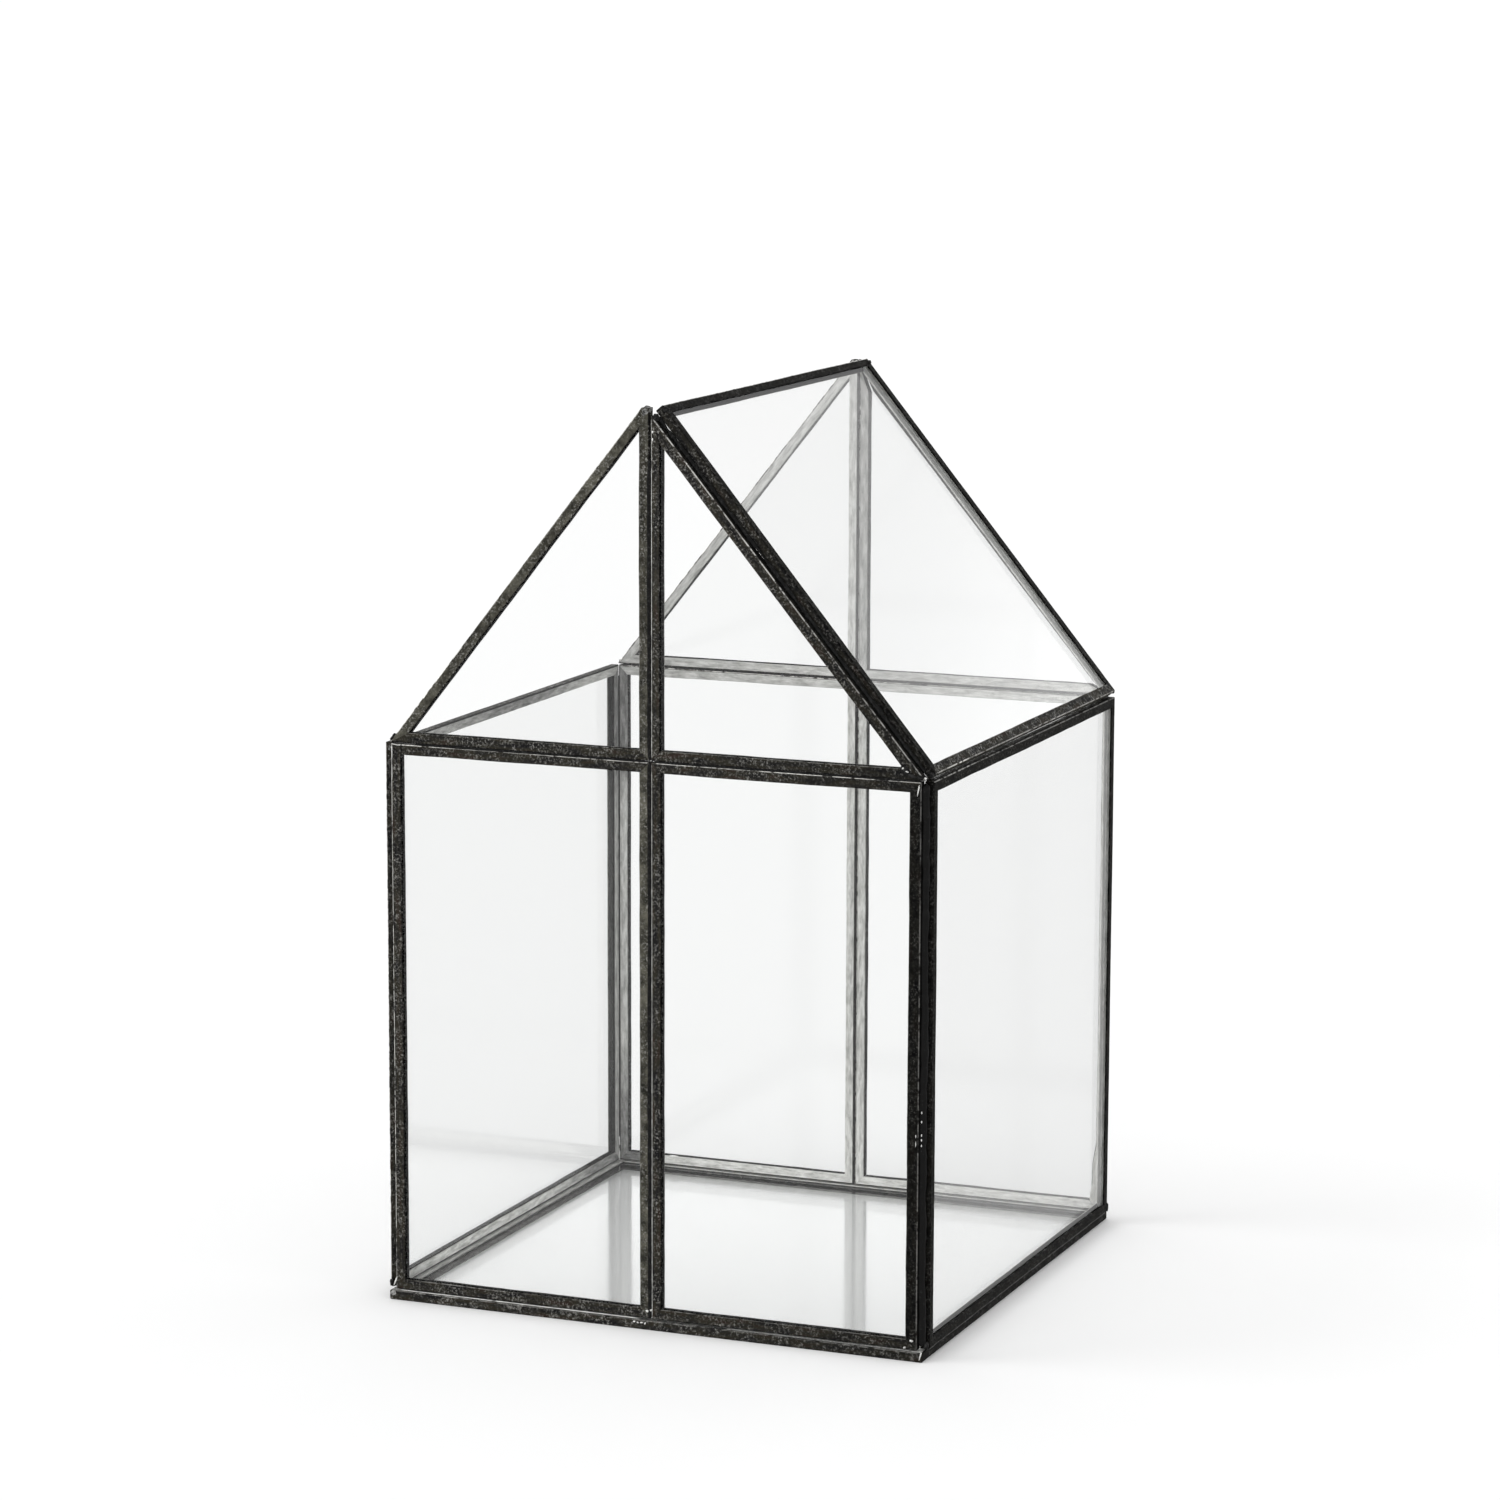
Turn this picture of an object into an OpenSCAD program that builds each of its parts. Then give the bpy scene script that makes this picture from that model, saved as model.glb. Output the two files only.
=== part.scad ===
// A small glass house for plants. Every flat pane sits in its own frame of U-shaped came strips,
// and dots of solder hold the frames together. The left half of the roof is left open.
// The origin is under the middle of the base: +Z is up and the front gable faces -Y.

/* [House] */
// Width over the outside of the two side walls
body_w = 200; // [170:1:230]
// Depth over the faces of the front and back gables
gable_depth = 196.2; // [170:0.2:230]
// Height of the top edge of the walls
wall_top = 196.3; // [150:0.1:240]
// How far the side walls' front edges stand back from the gable face
wall_setback = 2.9; // [2.6:0.1:3.2]

/* [Floor] */
// Side of the square floor frame
floor_side = 197.3; // [165:0.1:225]

/* [Gable points] */
// Rise of the left panes' rake, from their base to where it meets the middle line
left_rise = 121.9; // [90:0.1:140]
// Rise of the right panes' rake
right_rise = 115.8; // [90:0.1:140]
// Distance of the left rake's foot from the body's side
left_foot_inset = 3; // [2:0.1:6]
// Distance of the right rake's foot from the body's side
right_foot_inset = 2.1; // [2:0.1:6]
// Length cut off the sharp top of the left panes
left_tip_cut = 3.7; // [1:0.1:6]
// Length cut off the sharp top of the right panes
right_tip_cut = 0.3; // [0.2:0.1:3]

/* [Roof panel] */
// Slope of the roof panel in degrees
roof_pitch = 50.3; // [45:0.1:55]
// Length of the roof panel from eave to ridge
roof_length = 152.2; // [130:0.1:160]
// Distance of the roof panel's lower edge from the outside of the wall it rests on
roof_seat_inset = 2.3; // [1:0.1:3]

/* [Came and glass] */
// Width of the came's flanges, as seen on the face of a pane
came_w = 3.6; // [3.4:0.1:5]
// Thickness of the came's sheet metal
sheet = 0.6; // [0.4:0.05:0.7]
// Thickness of the glass
glass_t = 2; // [1.6:0.1:2.2]
// Play between the glass and the sheet metal around it
glass_play = 0.1; // [0.05:0.01:0.15]
// Radius of the folded corners of the came
fold_r = 0.45; // [0.3:0.05:0.6]
// Groove between two frames that stand edge to edge
joint_gap = 0.5; // [0.3:0.05:0.7]

/* [Solder] */
// Radius of the beads over the grooves
bead_r = 0.8; // [0.5:0.1:1.2]
// Length of the beads and fillets
bead_len = 4; // [2:0.5:6]
// Radius of the fillets in the inside corners
fillet_r = 1.2; // [1:0.1:2]
// Part of the right rake's length that its seam of solder covers
seam_part = 0.9; // [0.3:0.05:0.95]
// Radius of the nubs at the ridge ends
nub_r = 1.4; // [1:0.1:1.6]

/* [Hidden] */
// Fineness of the small curves
$fn = 32;
came_t = glass_t + 2 * glass_play + 2 * sheet;
// Clearance at the places where frames stand corner to corner
corner_gap = 0.1;
// Half of the clearance at a mitre
mitre_gap = 0.04;
// Clearance that keeps solder just off the metal that it lies on
hair = 0.02;
// How far the solder on the right wall's top reaches out from under the roof panel
wedge_reach = 1.4;
solder_colour = "#6f6e6a";
// Larger than any part of the model
beyond = 500;

// Half sizes of the frames
floor_half = floor_side / 2;
wall_half = gable_depth / 2 - wall_setback;
gable_half = body_w / 2 - came_t - corner_gap;
mullion_half = joint_gap / 2;
roof_half = gable_depth / 2 - came_t - corner_gap;

// Heights and feet of the walls and the gable points
wall_bottom = came_t + joint_gap;
gable_base = wall_top + joint_gap;
left_foot = body_w / 2 - left_foot_inset;
right_foot = body_w / 2 - right_foot_inset;
// How much is cut off the sharp feet of the gable points
foot_cut = 0.4;
// How much further the glass stays from the cut points than the came does
glass_tip_cut = 3;

// Where the roof panel's lower inner edge rests on the right wall, just over its top edge
seat_gap = 0.3;
roof_seat = [body_w / 2 - roof_seat_inset, wall_top + seat_gap];
// The angle that the panel's lower end makes with the wall's top
seat_angle = 90 - roof_pitch;
// The panel's lower outer edge
roof_eave = roof_seat + came_t * [cos(seat_angle), sin(seat_angle)];

// Outlines of the panes, anticlockwise, with the names of their sides
floor_outline = rectangle(-floor_half, -floor_half, floor_half, floor_half);
wall_outline = rectangle(-wall_half, wall_bottom, wall_half, wall_top);
left_outline = rectangle(-gable_half, wall_bottom, -mullion_half, wall_top);
right_outline = rectangle(mullion_half, wall_bottom, gable_half, wall_top);
roof_outline = rectangle(-roof_half, 0, roof_half, roof_length);
left_point = [
    [-left_foot, gable_base],
    [-mullion_half, gable_base],
    [-mullion_half, gable_base + left_rise]
];
right_point = [
    [mullion_half, gable_base],
    [right_foot, gable_base],
    [mullion_half, gable_base + right_rise]
];
floor_sides = ["front", "right", "back", "left"];
wall_sides = ["bottom", "back", "top", "front"];
left_sides = ["bottom", "inner", "top", "outer"];
right_sides = ["bottom", "outer", "top", "inner"];
roof_sides = ["eave", "back", "ridge", "front"];
left_point_sides = ["base", "upright", "rake"];
right_point_sides = ["base", "rake", "upright"];

// Every pane: its name, the face of the house that it lies in, its outline and its sides
PANES = [
    ["floor", "floor", floor_outline, floor_sides],
    ["left_wall", "left", wall_outline, wall_sides],
    ["right_wall", "right", wall_outline, wall_sides],
    ["front_left", "front", left_outline, left_sides],
    ["front_right", "front", right_outline, right_sides],
    ["back_left", "back", left_outline, left_sides],
    ["back_right", "back", right_outline, right_sides],
    ["front_left_gable", "front", left_point, left_point_sides],
    ["front_right_gable", "front", right_point, right_point_sides],
    ["back_left_gable", "back", left_point, left_point_sides],
    ["back_right_gable", "back", right_point, right_point_sides],
    ["roof", "roof", roof_outline, roof_sides]
];
SOLDER = ["solder_front", "solder_back", "solder_base", "solder_roof"];

function pane_name(pane) = pane[0];
function pane_face(pane) = pane[1];
function outline(pane) = pane[2];
function sides(pane) = pane[3];
function glass_name(pane) = str(pane_name(pane), "_glass");
function came_name(pane, side) = str(pane_name(pane), "_came_", sides(pane)[side]);

function rectangle(x0, y0, x1, y1) = [[x0, y0], [x1, y0], [x1, y1], [x0, y1]];

// Corner i of an outline, counted round and round
function corner(points, i) = points[(i + len(points)) % len(points)];
// Unit vector along the side that starts at corner i, and the one pointing into the pane from it
function along(points, i) = let (step = corner(points, i + 1) - corner(points, i)) step / norm(step);
function inward(points, i) = let (step = along(points, i)) [-step.y, step.x];
// Half of the angle inside corner i
function half_angle(points, i) = acos(-along(points, i - 1) * along(points, i)) / 2;
// The outline moved inwards by a distance on every side
function inset(points, distance) = [
    for (i = [0 : len(points) - 1])
        let (before = inward(points, i - 1), after = inward(points, i))
        points[i] + distance * (before + after) / (1 + before * after)
];

// Puts a pane drawn in the XY plane, with its thickness about z = 0, in its face of the house
module in_face(face) {
    wall_middle = body_w / 2 - came_t / 2;
    gable_middle = gable_depth / 2 - came_t / 2;
    if (face == "floor") translate([0, 0, came_t / 2]) children();
    if (face == "left") translate([-wall_middle, 0, 0]) rotate([90, 0, 90]) children();
    if (face == "right") translate([wall_middle, 0, 0]) rotate([90, 0, 90]) children();
    if (face == "front") translate([0, -gable_middle, 0]) rotate([90, 0, 0]) children();
    if (face == "back") translate([0, gable_middle, 0]) rotate([90, 0, 0]) children();
    if (face == "roof") on_roof() translate([0, 0, -came_t / 2]) children();
}

// The roof panel's outer surface: X runs to the back, Y up the slope and Z outwards
module on_roof() {
    translate([roof_eave.x, 0, roof_eave.y])
        rotate([0, roof_pitch - 90, 0])
            rotate([90, 0, 90])
                children();
}

// The came's section: the web along X = 0, folded at both corners, and open towards +X
module came_section() {
    difference() {
        union() {
            translate([fold_r, -came_t / 2]) square([came_w - fold_r, came_t]);
            translate([0, -came_t / 2 + fold_r]) square([came_w, came_t - 2 * fold_r]);
            for (fold = [-1, 1])
                translate([fold_r, fold * (came_t / 2 - fold_r)]) circle(fold_r);
        }
        translate([sheet, -came_t / 2 + sheet]) square([came_w, came_t - 2 * sheet]);
    }
}

// The space on the far side of a mitre, which runs through the origin at the given angle to X
module past_mitre(angle) {
    rotate([0, 0, angle])
        translate([-beyond, -mitre_gap, -beyond / 2])
            cube([2 * beyond, beyond, beyond]);
}

// A strip of came along one side of a pane, mitred at both ends
module came_strip(points, side) {
    start = corner(points, side);
    direction = along(points, side);
    length = norm(corner(points, side + 1) - start);
    translate(start)
        rotate([0, 0, atan2(direction.y, direction.x)])
            difference() {
                rotate([90, 0, 90]) linear_extrude(length) came_section();
                past_mitre(half_angle(points, side));
                translate([length, 0, 0]) mirror([1, 0, 0]) past_mitre(half_angle(points, side + 1));
            }
}

// Cuts the sharp tips off a gable point, and leaves a rectangular pane whole
module tips_cut(points, more) {
    if (len(points) == 3) {
        foot = max([for (point = points) abs(point.x)]);
        top = max([for (point = points) point.y]);
        reach = foot - foot_cut - more;
        tip_cut = points == left_point ? left_tip_cut : right_tip_cut;
        intersection() {
            children();
            translate([-reach, 0, -came_t]) cube([2 * reach, top - tip_cut - more, 2 * came_t]);
        }
    } else {
        children();
    }
}

module came(pane, side) {
    color("#3c3b38")
        in_face(pane_face(pane))
            tips_cut(outline(pane), 0)
                came_strip(outline(pane), side);
}

module glass(pane) {
    color("#e4eae8", 0.35)
        in_face(pane_face(pane))
            tips_cut(outline(pane), glass_tip_cut)
                translate([0, 0, -glass_t / 2])
                    linear_extrude(glass_t) polygon(inset(outline(pane), sheet + glass_play));
}

// A bead of solder lying along X on the plane z = 0, with round ends
module bead() {
    intersection() {
        union() {
            translate([-bead_len / 2, 0, 0]) rotate([0, 90, 0]) cylinder(bead_len, bead_r, bead_r);
            for (end = [-1, 1])
                translate([end * bead_len / 2, 0, 0]) sphere(bead_r);
        }
        translate([-bead_len, -bead_len, hair]) cube(2 * bead_len);
    }
}

// A bead over the groove between two frames, with the solder that ran into the groove below it
module groove_bead() {
    bead();
    translate([-bead_len / 2, hair - mullion_half, -came_t / 2])
        cube([bead_len, joint_gap - 2 * hair, came_t / 2 + bead_r / 2]);
}

// A fillet of solder along Z in the inside corner between the planes x = 0 and y = 0
module fillet(length = bead_len) {
    intersection() {
        cylinder(length, fillet_r, fillet_r, center = true);
        translate([hair, hair, -length]) cube(2 * length);
    }
}

// Draws its children on both the left and the right side of the house
module on_both_sides() {
    for (side = [0, 1])
        mirror([side, 0, 0]) children();
}

// The solder on the front gable: in its grooves, and in the upright notches at its corners
module gable_solder() {
    color(solder_colour) {
        translate([0, -gable_depth / 2, 0]) rotate([90, 0, 0]) {
            for (height = [wall_bottom + bead_len, wall_top - 2 * bead_len, gable_base + 2 * bead_len])
                translate([0, height, 0]) rotate([0, 0, 90]) groove_bead();
            on_both_sides()
                translate([gable_half - 2 * bead_len, wall_top + mullion_half, 0]) groove_bead();
        }
        on_both_sides()
            for (height = [wall_bottom + bead_len, wall_top - bead_len])
                translate([gable_half, -wall_half, height]) mirror([0, 1, 0]) fillet();
    }
}

module solder_front() {
    gable_solder();
}

module solder_back() {
    mirror([0, 1, 0]) gable_solder();
}

// The solder between the walls and the floor frame
module solder_base() {
    color(solder_colour)
        for (end = [0, 1])
            mirror([0, end, 0]) {
                on_both_sides() {
                    // Under the side wall's overhang
                    translate([floor_half, 2 * bead_len - wall_half, wall_bottom])
                        rotate([90, 0, 0]) mirror([0, 1, 0]) fillet();
                    // In the groove under the corner of the gable
                    translate([gable_half - 2 * bead_len, -floor_half, came_t + mullion_half])
                        rotate([90, 0, 0]) groove_bead();
                }
                // In the groove under the middle of the gable
                translate([0, -floor_half, came_t + mullion_half])
                    rotate([90, 0, 0]) groove_bead();
            }
}

// The wedge of solder between the roof panel's lower end and the top of the right wall
module seat_wedge() {
    translate([roof_seat.x, 0, roof_seat.y])
        rotate([90, 0, 0])
            linear_extrude(bead_len, center = true)
                polygon([
                    [0, hair - seat_gap],
                    [wedge_reach, hair - seat_gap],
                    [wedge_reach, wedge_reach * tan(seat_angle) - 2 * hair],
                    [0, -2 * hair]
                ]);
}

// The seam on the right rake of the front gable, against the roof panel
module rake_seam() {
    run = right_foot - mullion_half;
    translate([right_foot - run / 2, -roof_half, gable_base + right_rise / 2])
        rotate([0, atan2(right_rise, run) - 90, 0])
            rotate([0, 0, 180]) mirror([1, 0, 0]) fillet(seam_part * norm([run, right_rise]));
}

// The nub of solder that closes the front end of the roof panel's ridge
module ridge_nub() {
    on_roof()
        translate([nub_r - roof_half, roof_length, -came_t / 2])
            rotate([-90, 0, 0])
                intersection() {
                    sphere(nub_r);
                    translate([-nub_r, -nub_r, hair]) cube(2 * nub_r);
                }
}

module solder_roof() {
    color(solder_colour)
        for (end = [0, 1])
            mirror([0, end, 0]) {
                translate([0, 2 * bead_len - roof_half, 0]) seat_wedge();
                rake_seam();
                ridge_nub();
            }
}

for (pane = PANES) {
    glass(pane);
    for (side = [0 : len(sides(pane)) - 1])
        came(pane, side);
}
solder_front();
solder_back();
solder_base();
solder_roof();
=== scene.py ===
"""A house-shaped glass case for plants: flat panes in U-shaped came, soldered together.

Each came strip is rebuilt as a folded strip with a slight waver and worn folds, in the place that the
frame gives it, with painted highlights and painted shade by how its faces turn to the light. The solder is
rebuilt as lumps and seams, some bright as painted highlights and some black as painted shade in grooves.
The glass stays as the frame has it.
"""

import math
import random

import bpy
from mathutils import Matrix, Vector, noise
from mathutils.geometry import convex_hull_2d


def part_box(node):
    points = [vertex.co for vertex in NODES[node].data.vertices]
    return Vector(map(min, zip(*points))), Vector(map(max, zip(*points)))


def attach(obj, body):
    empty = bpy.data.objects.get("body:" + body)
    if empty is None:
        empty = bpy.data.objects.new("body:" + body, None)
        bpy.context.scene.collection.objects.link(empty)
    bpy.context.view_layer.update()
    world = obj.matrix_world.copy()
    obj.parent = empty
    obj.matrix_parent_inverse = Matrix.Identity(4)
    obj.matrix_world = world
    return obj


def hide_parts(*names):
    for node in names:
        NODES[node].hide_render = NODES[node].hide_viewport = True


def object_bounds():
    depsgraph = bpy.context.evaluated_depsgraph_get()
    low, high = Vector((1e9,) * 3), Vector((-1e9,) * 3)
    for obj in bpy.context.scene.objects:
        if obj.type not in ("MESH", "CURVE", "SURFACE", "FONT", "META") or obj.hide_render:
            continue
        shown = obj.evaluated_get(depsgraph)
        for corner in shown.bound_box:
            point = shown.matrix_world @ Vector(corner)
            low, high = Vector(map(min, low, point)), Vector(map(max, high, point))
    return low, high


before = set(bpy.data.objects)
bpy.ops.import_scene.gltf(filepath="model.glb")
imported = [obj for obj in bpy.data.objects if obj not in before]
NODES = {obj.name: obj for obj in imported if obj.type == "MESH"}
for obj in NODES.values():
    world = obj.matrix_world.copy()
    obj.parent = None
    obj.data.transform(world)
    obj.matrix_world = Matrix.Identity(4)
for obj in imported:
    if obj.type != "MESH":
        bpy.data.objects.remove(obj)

CAD_BOX = [list(corner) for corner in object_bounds()]
MM = 0.001
X, Y, Z = (Vector(axis) for axis in ((1, 0, 0), (0, 1, 0), (0, 0, 1)))

# ---------------------------------------------------------------- sizes from the frame

PANES = sorted(name[: -len("_glass")] for name in NODES if name.endswith("_glass"))
HOUSE_LOW, HOUSE_HIGH = (Vector(corner) for corner in CAD_BOX)
HOUSE_MIDDLE = (HOUSE_LOW + HOUSE_HIGH) / 2

FLOOR_LOW, FLOOR_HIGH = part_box("floor_came_front")
CAME_THICK = FLOOR_HIGH.z - FLOOR_LOW.z
CAME_WIDE = FLOOR_HIGH.y - FLOOR_LOW.y

# The came's sheet metal, its folded corners, the lips on its flanges and the gap at a mitre
SHEET = 0.6 * MM
FOLD = 0.45 * MM
LIP = 0.18 * MM
MITRE_GAP = 0.02 * MM
# How far the tip of a lip and the slot's mouth stand back from the flange's full width
TIP_BACK = 0.02 * MM
MOUTH_BACK = 0.05 * MM
# How narrow the worn line with its painted highlight along a fold and the painted shade line along a lip are
FINE = 0.12 * MM
# How fast the wear and painted highlight grow towards the middle of a fold, where they are full. More makes
# the bright line broader. The same weight gives the painted shade on folds turned from the light
FOLD_WEAR_AND_GLINT = 1.6

# How far apart the rings of a strip are, and the fewest steps that it has
RING_STEP = 1.5 * MM
FEWEST_STEPS = 8
# How far a strip wanders from a straight line, and how long its waves are
WAVER = 0.10 * MM
WAVER_LENGTH = 45 * MM
# The same for the hand-pressed edge of a flange
EDGE_WAVER = 0.14 * MM
EDGE_WAVER_LENGTH = 14 * MM
# Small dents all over the metal
DENT = 0.035 * MM
DENT_LENGTH = 5 * MM
# A strip's ends stop at its CAD box along each axis that it leans towards by more than this cosine
LEAN = 0.3
# Edges that fold by more than this stay sharp
SHARP = math.radians(50)

# The way to the light: folds that face it are worn bright with a painted highlight, and the others get black
# painted shade
LIGHTWARDS = Vector((-0.72, -0.30, 0.62)).normalized()
# Faces that look this way, away from the light, get the blackest painted shade
AWAY = Vector((0.85, 0.15, 0.2)).normalized()
# The cosines to those two ways at which the wear with its painted highlight and the black painted shade
# begin, and at which they are full
GLINT_FROM, GLINT_FULLY = 0.12, 0.55
SHADE_FROM, SHADE_FULLY = 0.25, 0.8
# The right-hand side of the house gets blacker painted shade: where that begins, where it is full, and by
# how much
RIGHT_FROM, RIGHT_FULLY = 20 * MM, 100 * MM
RIGHT_SHADE = 0.5
# How worn and highlighted the sharp lips are beside the folds, and how much of the painted edge shade tinned
# metal takes beside blackened metal
LIP_WEAR_AND_GLINT = 0.2
TINNED_EDGE_SHADE = 0.3

# How bright tinned metal is, from 0 to 1: everywhere, more for each part of its facing that looks right
# and backwards, more for each metre to the right, more in a pale slot, and more near the table. Past the
# base level this is painted light and shade, by facing and place, in pale slots and near the white table
TONE = 0.55
TONE_FACING_RIGHT = -0.32
TONE_FACING_BACK = -0.15
TONE_TO_RIGHT = 3.0
TONE_IN_SLOT = 0.5
TONE_NEAR_TABLE = 0.25
NEAR_TABLE = 60 * MM


# ---------------------------------------------------------------- panes and their strips


class Pane:
    """A pane's plane, and its strips in turn round it."""

    def __init__(self, name):
        glass = NODES[name + "_glass"]
        widest = max(glass.data.polygons, key=lambda face: face.area)
        low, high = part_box(name + "_glass")
        self.middle = (low + high) / 2
        self.normal = widest.normal.copy()
        if self.normal.dot(self.middle - HOUSE_MIDDLE) < 0:
            self.normal.negate()
        upright = Z if abs(self.normal.z) < 0.9 else Y
        self.up = (upright - upright.dot(self.normal) * self.normal).normalized()
        self.across = self.up.cross(self.normal)
        nodes = sorted(node for node in NODES if node.startswith(name + "_came_"))
        lines = sorted((self.web_line(node) for node in nodes), key=lambda line: line[0])
        count = len(lines)
        corners = [self.meet(lines[i - 1], lines[i]) for i in range(count)]
        self.strips = []
        for i, line in enumerate(lines):
            turns = [corners[(i + step) % count] for step in (-1, 0, 1, 2)]
            self.strips.append(Strip(self, line[3], *turns))

    def flat(self, point):
        """A point's place in the pane's plane."""
        away = point - self.middle
        return Vector((away.dot(self.across), away.dot(self.up)))

    def solid(self, flat):
        """The point at a place in the pane's plane."""
        return self.middle + flat.x * self.across + flat.y * self.up

    def web_line(self, node):
        """The angle, start, end and node of a strip's outer edge, anticlockwise about the pane."""
        points = [self.flat(vertex.co) for vertex in NODES[node].data.vertices]
        hull = [points[i] for i in convex_hull_2d(points)]
        edges = [(hull[i - 1], hull[i]) for i in range(len(hull))]
        start, end = max(edges, key=lambda edge: (edge[1] - edge[0]).length)
        if (end - start).cross(-start) < 0:
            start, end = end, start
        centre = (start + end) / 2
        return math.atan2(centre.y, centre.x), start, end, node

    @staticmethod
    def meet(before, after):
        """Where two outer edges meet."""
        a, b = before[1], before[2] - before[1]
        c, d = after[1], after[2] - after[1]
        return a + b * ((c - a).cross(d) / b.cross(d))


class Strip:
    """One came strip, from corner start to corner end of its pane."""

    def __init__(self, pane, node, before, start, end, after):
        self.pane, self.node = pane, node
        self.low, self.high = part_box(node)
        self.start = pane.solid(start)
        self.length = (end - start).length
        along = (end - start).normalized()
        self.along = pane.solid(along) - pane.middle
        self.inward = pane.normal.cross(self.along)
        self.start_slope = self.mitre_slope(before - start, end - start)
        self.end_slope = self.mitre_slope(after - end, start - end)

    @staticmethod
    def mitre_slope(a, b):
        """How far along the strip its mitred end steps back for each step inwards."""
        return 1 / math.tan(a.angle(b) / 2)

    def reach(self, inward):
        """The strip's first and last place along its line at a distance in from its outer edge."""
        first = inward * self.start_slope + MITRE_GAP
        last = self.length - inward * self.end_slope - MITRE_GAP
        for axis in range(3):
            step = self.along[axis]
            if abs(step) > LEAN:
                base = self.start[axis] + inward * self.inward[axis]
                ends = sorted(((self.low[axis] - base) / step, (self.high[axis] - base) / step))
                first, last = max(first, ends[0]), min(last, ends[1])
        return first, last

    def facing(self, kind, side):
        """The way that a part of the section faces, on the outer (1) or inner (-1) side."""
        normal = side * self.pane.normal
        ways = {
            "lip": self.inward + normal,
            "face": normal,
            "fold": normal - self.inward,
            "web": -self.inward,
            "slot": -normal,
        }
        return ways[kind].normalized()


def came_profile():
    """The came's section as (inward, outward, kind, wear_and_glint) points, the last weighing a point's wear
    and painted highlight, and its painted shade where it is turned from the light.

    They run down the outer flange, over the web, up the inner flange and round the slot.
    """
    half = CAME_THICK / 2
    slot = half - SHEET
    flange_steps, fold_steps, web_steps = 5, 6, 5
    side = [(CAME_WIDE - TIP_BACK, half - LIP, "lip", 1.0), (CAME_WIDE - LIP, half, "lip", 0.8)]
    face_start, face_end = CAME_WIDE - LIP - FINE, FOLD + FINE
    for step in range(flange_steps + 1):
        side.append((face_start + (face_end - face_start) * step / flange_steps, half, "face", 0.0))
    for step in range(fold_steps + 1):
        turn = math.pi / 2 * step / fold_steps
        wear_and_glint = min(1.0, FOLD_WEAR_AND_GLINT * math.sin(2 * turn) ** 2)
        side.append((FOLD - FOLD * math.sin(turn), half - FOLD + FOLD * math.cos(turn), "fold", wear_and_glint))
    web_half = half - FOLD - FINE
    web = [(0.0, web_half * (1 - 2 * step / web_steps), "web", 0.0) for step in range(web_steps + 1)]
    outer = side + web + [(inward, -out, kind, wear_and_glint) for inward, out, kind, wear_and_glint in reversed(side)]
    mouth = CAME_WIDE - MOUTH_BACK
    slot_path = [(mouth, -slot), *((SHEET, share * slot) for share in (-1, 0.3, 0.6, 1)), (mouth, slot)]
    return outer + [(inward, out, "slot", 0.0) for inward, out in slot_path]


PROFILE = came_profile()
# How far round the section each of its points lies
ROUND = [0.0]
for before, after in zip(PROFILE, PROFILE[1:]):
    ROUND.append(ROUND[-1] + math.dist(before[:2], after[:2]))

# Some things change along a strip. They are given as stops: a share of its length, and the value there.
NOTHING = ((0.0, 0.0),)
# How much wider (mm) than the rest some strips' flanges are, outside (1) and inside (-1), as stops
TRIMS = {
    "back_right_came_outer": {
        1: ((0.0, -1.7), (0.885, -1.7), (0.93, -0.3), (1.0, 0.0)),
        -1: ((0.0, -2.7), (0.885, -2.7), (0.93, -1.2), (0.965, -1.3), (0.985, -0.3)),
    },
    "back_right_gable_came_rake": {1: ((0.0, -1.0),), -1: ((0.0, -3.1),)},
    "roof_came_back": {1: ((0.0, 0.4),)},
    "front_left_gable_came_upright": {1: ((0.0, 0.25),)},
    "front_right_gable_came_upright": {1: ((0.0, -0.45),)},
    "front_left_came_inner": {1: ((0.0, 0.2),)},
    "front_right_came_outer": {1: ((0.0, 0.5),)},
    "roof_came_ridge": {1: ((0.0, -0.8),)},
}
# Strips whose outer folds are worn bright, with a painted highlight, although they face away from the light
RUBBED_GLINTS = {
    "front_right_gable_came_rake": 0.75,
    "front_right_came_outer": 0.15,
    "roof_came_eave": 0.9,
    "right_wall_came_top": 0.5,
}
# Strips whose folds get less wear and painted highlight, and more painted shade, than their place would give
# them
DULLED = {"floor_came_front": 0.3, "back_left_came_outer": 0.0}
# Strips that get more painted shade and are blacker (more than 0), or are greyer (less than 0), than the
# rest
BLACKNESS = {
    "right_wall_came_front": 1.0,
    "roof_came_front": 0.3,
    "roof_came_ridge": 0.6,
    "roof_came_back": 0.7,
    "front_right_came_outer": 1.0,
    "front_left_gable_came_upright": -0.6,
    "front_left_gable_came_rake": -0.8,
    "front_right_gable_came_upright": -0.1,
    "front_left_came_inner": -0.9,
    "left_wall_came_front": 0.4,
    "roof_came_eave": -1.2,
    "right_wall_came_bottom": -0.4,
}
# Strips whose slot is tinned and shows pale through the glass, without the painted shade of the other slots
PALE_SLOTS = ("right_wall_came_back", "roof_came_back")
# How far towards the outer flange a pale slot is pale
PALE_REACH = CAME_THICK / 6
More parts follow.
